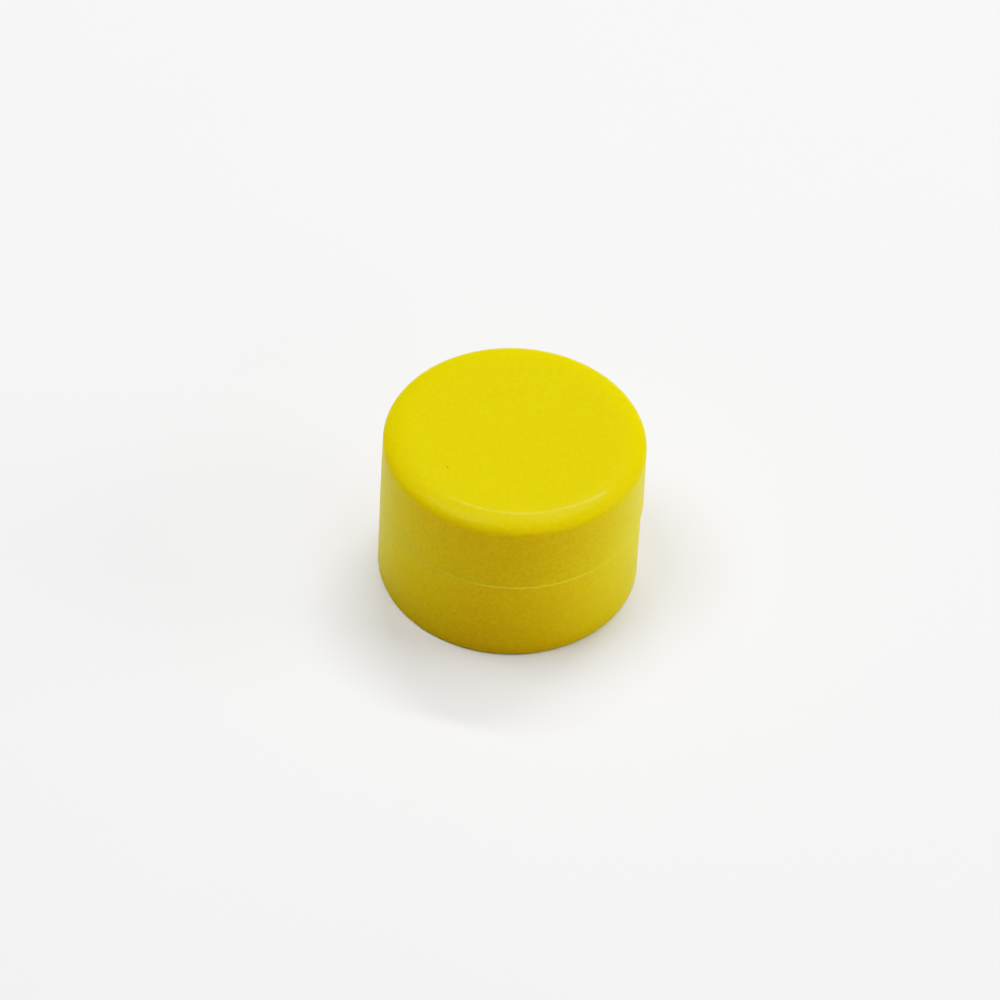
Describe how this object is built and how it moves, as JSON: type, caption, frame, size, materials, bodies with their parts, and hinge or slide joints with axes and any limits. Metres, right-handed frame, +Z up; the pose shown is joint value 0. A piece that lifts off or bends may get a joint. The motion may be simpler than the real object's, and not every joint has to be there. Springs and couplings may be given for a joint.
{
  "type": "pavement marker",
  "caption": "Short round yellow plastic pavement marker: a flat-topped cap with a rounded edge, lapped over a base cup and closed on a stack of magnets.",
  "frame": {"origin": "middle of the underside of the base cup", "axes": "+Z up along the marker's axis, from the base cup to the cap's flat top; the marker is round, and the cap's side play is towards +X"},
  "size_m": [0.036, 0.036, 0.0248],
  "materials": {
    "yellow_plastic": "satin",
    "black_rubber": "matte",
    "ferrite": "satin",
    "zinc_steel": "satin",
    "epoxy": "gloss"
  },
  "bodies": {
    "base": {"base_cup": "yellow_plastic", "bond_layer": "epoxy", "backing_plate": "zinc_steel", "magnet_lower": "ferrite", "magnet_upper": "ferrite", "pressure_plate": "zinc_steel", "cushion_pad": "black_rubber", "seal_ring": "black_rubber"},
    "cap": {"cap_shell": "yellow_plastic"}
  },
  "joints": [
    {"name": "cap_lift", "type": "slide", "parent": "base", "child": "cap", "axis": [0, 0, 1], "range_m": [0, 0.02]}
  ]
}
